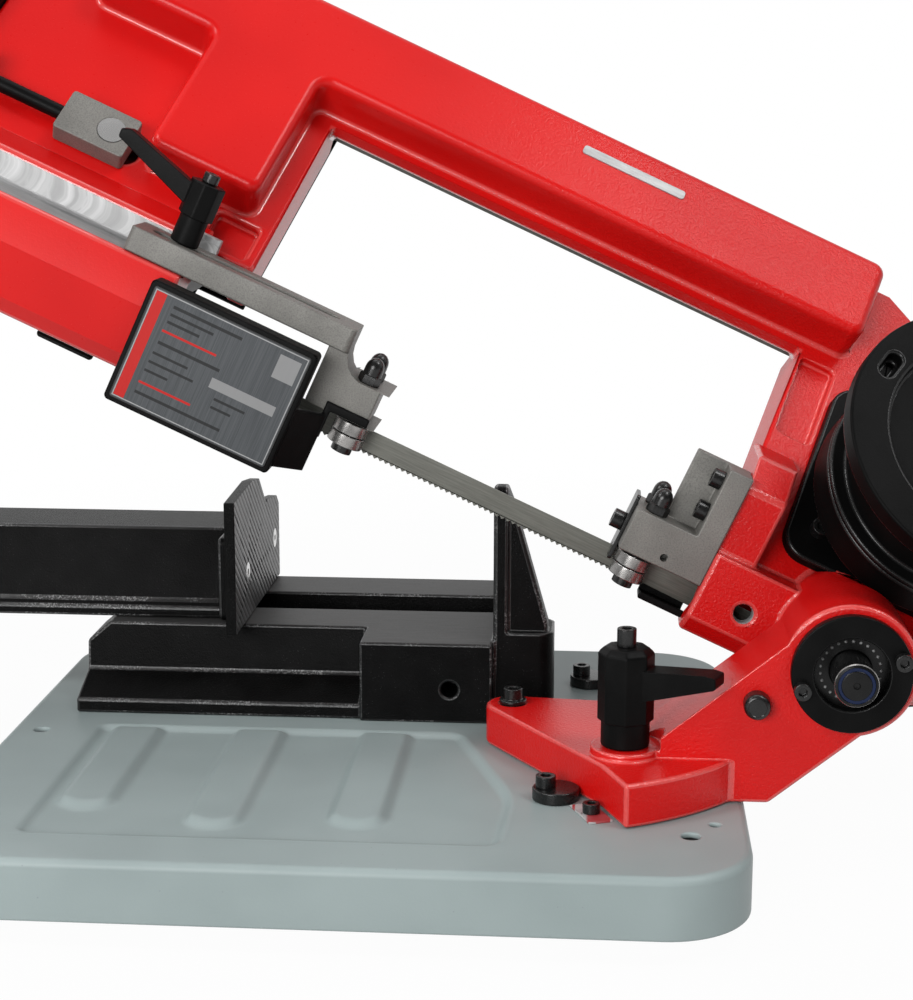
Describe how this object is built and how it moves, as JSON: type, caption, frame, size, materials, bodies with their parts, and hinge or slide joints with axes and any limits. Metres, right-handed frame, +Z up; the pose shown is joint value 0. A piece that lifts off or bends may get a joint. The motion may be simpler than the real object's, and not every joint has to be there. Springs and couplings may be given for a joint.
{
  "type": "metal cutting band saw",
  "caption": "Bench band saw for metal with a tilting cast bow, leaning wheels, twisted blade between roller guides, mitre swivel and a screw vise on a pressed tray.",
  "frame": {"origin": "on the floor, in the middle of the four bolt-down holes of the tray", "axes": "+X along the vise towards the motor, +Y away from the operator, +Z up"},
  "size_m": [0.7807, 0.372, 0.5175],
  "materials": {
    "red_paint": "gloss",
    "tray_paint": "satin",
    "black_casting": "semi-gloss paint",
    "jaw_steel": "dark, ruled",
    "black_screws": "black oxide",
    "bright_steel": "ground",
    "blade_steel": "dull",
    "guide_metal": "cast, machined",
    "black_plastic": "matt",
    "trigger_plastic": "matt",
    "plate_metal": "brushed, printed bars",
    "scale_metal": "printed",
    "black_paint": "satin",
    "black_motor": "black paint",
    "wheel_metal": "turned",
    "foot_rubber": "matt"
  },
  "bodies": {
    "base": {"base_tray": "tray_paint", "rubber_feet": "foot_rubber", "vise_bed": "black_casting", "bed_screws": "black_screws", "vise_nut": "bright_steel", "pivot_screw": "black_screws", "stop_cam_front": "black_screws", "stop_cam_rear": "black_screws", "stop_screws": "black_screws", "angle_scale": "scale_metal"},
    "jaw": {"moving_jaw": "black_casting", "jaw_plate": "jaw_steel", "jaw_plate_screws": "bright_steel"},
    "vise_drive": {"vise_screw": "bright_steel", "handwheel": "black_paint"},
    "wheel_grip": {"handwheel_grip": "black_plastic"},
    "bracket": {"swivel_bracket": "red_paint", "mitre_stud": "black_screws", "hinge_bearings": "bright_steel", "bearing_cap": "black_paint", "cap_screws": "black_screws", "ear_bolt": "black_screws"},
    "mitre_clamp": {"mitre_lever": "black_plastic", "mitre_lever_screw": "black_screws"},
    "bow": {"bow_frame": "red_paint", "rear_cover": "black_paint", "cover_screws": "black_screws", "hinge_shaft": "bright_steel", "blade": "blade_steel", "guide_lever_screw": "black_screws", "right_guide_block": "guide_metal", "right_guide_screws": "black_screws", "wiper_plate": "guide_metal", "blade_channel": "black_plastic", "guide_pins_right": "black_screws", "acorn_nuts_right": "black_screws", "gearbox_housing": "black_motor", "gearbox_screws": "black_screws", "motor_housing": "black_motor", "handle": "black_plastic"},
    "drive": {"drive_wheel": "wheel_metal", "output_shaft": "bright_steel"},
    "counter": {"counter_gear": "bright_steel"},
    "rotor": {"motor_rotor": "bright_steel"},
    "carriage": {"tension_slide": "guide_metal", "idler_axle": "bright_steel"},
    "idler": {"idler_wheel": "wheel_metal", "idler_bearings": "bright_steel"},
    "knob": {"tension_knob": "black_plastic"},
    "guide": {"guide_bar": "guide_metal", "blade_guard": "black_plastic", "data_plate": "plate_metal", "guide_pins_left": "black_screws", "acorn_nuts_left": "black_screws"},
    "guide_clamp": {"guide_lever": "black_plastic"},
    "roller_lf": {"roller_left_front": "bright_steel"},
    "roller_lr": {"roller_left_rear": "bright_steel"},
    "roller_rf": {"roller_right_front": "bright_steel"},
    "roller_rr": {"roller_right_rear": "bright_steel"},
    "trigger": {"trigger": "trigger_plastic"}
  },
  "joints": [
    {"name": "vise_turn", "type": "hinge", "parent": "jaw", "child": "vise_drive", "pos_m": [-0.3, 0.121, 0.109], "axis": [1, 0, 0], "range_deg": [0, 10080]},
    {"name": "jaw_slide", "type": "slide", "parent": "base", "child": "jaw", "axis": [1, 0, 0], "range_m": [0, 0.14]},
    {"name": "grip_spin", "type": "hinge", "parent": "vise_drive", "child": "wheel_grip", "pos_m": [-0.374, 0.121, 0.157], "axis": [1, 0, 0], "continuous": true},
    {"name": "mitre_swivel", "type": "hinge", "parent": "base", "child": "bracket", "pos_m": [0.078, 0, 0.042], "axis": [0, 0, 1], "range_deg": [0, 45]},
    {"name": "mitre_clamp_turn", "type": "hinge", "parent": "bracket", "child": "mitre_clamp", "pos_m": [0.137, -0.078, 0.09], "axis": [0, 0, 1], "range_deg": [-60, 2]},
    {"name": "bow_hinge", "type": "hinge", "parent": "bracket", "child": "bow", "pos_m": [0.2445, -0.06, 0.11], "axis": [0, 1, 0], "range_deg": [-25.85, 20]},
    {"name": "drive_spin", "type": "hinge", "parent": "bow", "child": "drive", "pos_m": [0.2819, 0.0544, 0.14506], "axis": [0.2701, -0.766, 0.5833], "continuous": true},
    {"name": "counter_spin", "type": "hinge", "parent": "bow", "child": "counter", "pos_m": [0.30912, 0.0544, 0.13245], "axis": [0.2701, -0.766, 0.5833], "continuous": true},
    {"name": "rotor_spin", "type": "hinge", "parent": "bow", "child": "rotor", "pos_m": [0.2981, 0.00843, 0.18005], "axis": [0.2701, -0.766, 0.5833], "continuous": true},
    {"name": "tension_turn", "type": "hinge", "parent": "bow", "child": "knob", "pos_m": [-0.22859, 0.03272, 0.40152], "axis": [-0.9074, 0, 0.4202], "range_deg": [0, 1920]},
    {"name": "tension_travel", "type": "slide", "parent": "bow", "child": "carriage", "axis": [0.9074, 0, -0.4202], "range_m": [0, 0.008]},
    {"name": "idler_spin", "type": "hinge", "parent": "carriage", "child": "idler", "pos_m": [-0.14559, 0.0544, 0.34304], "axis": [0.2701, -0.766, 0.5833], "continuous": true},
    {"name": "guide_travel", "type": "slide", "parent": "bow", "child": "guide", "axis": [0.9074, 0, -0.4202], "range_m": [-0.07, 0.007]},
    {"name": "guide_clamp_turn", "type": "hinge", "parent": "bow", "child": "guide_clamp", "pos_m": [-0.08497, -0.01, 0.32066], "axis": [0.4202, 0, 0.9074], "range_deg": [-20, 20]},
    {"name": "roller_lf_spin", "type": "hinge", "parent": "guide", "child": "roller_lf", "pos_m": [-0.00745, -0.01013, 0.21037], "axis": [0.4202, 0, 0.9074], "continuous": true},
    {"name": "roller_lr_spin", "type": "hinge", "parent": "guide", "child": "roller_lr", "pos_m": [-0.00745, 0.01013, 0.21037], "axis": [0.4202, 0, 0.9074], "continuous": true},
    {"name": "roller_rf_spin", "type": "hinge", "parent": "bow", "child": "roller_rf", "pos_m": [0.13865, -0.01013, 0.14271], "axis": [0.4202, 0, 0.9074], "continuous": true},
    {"name": "roller_rr_spin", "type": "hinge", "parent": "bow", "child": "roller_rr", "pos_m": [0.13865, 0.01013, 0.14271], "axis": [0.4202, 0, 0.9074], "continuous": true},
    {"name": "trigger_press", "type": "slide", "parent": "bow", "child": "trigger", "axis": [-0.9074, 0, 0.4202], "range_m": [0, 0.005], "stiffness_N_per_m": 600}
  ],
  "couplings": [
    {"joint": "vise_turn", "follows": "jaw_slide", "rad_per_m": 1256.6},
    {"joint": "tension_turn", "follows": "tension_travel", "rad_per_m": 4188.8},
    {"joint": "counter_spin", "follows": "drive_spin", "ratio": -3},
    {"joint": "rotor_spin", "follows": "drive_spin", "ratio": 15.75},
    {"joint": "idler_spin", "follows": "drive_spin", "ratio": 1},
    {"joint": "roller_lf_spin", "follows": "drive_spin", "ratio": -8.8421},
    {"joint": "roller_rf_spin", "follows": "drive_spin", "ratio": -8.8421},
    {"joint": "roller_lr_spin", "follows": "drive_spin", "ratio": 8.8421},
    {"joint": "roller_rr_spin", "follows": "drive_spin", "ratio": 8.8421}
  ]
}
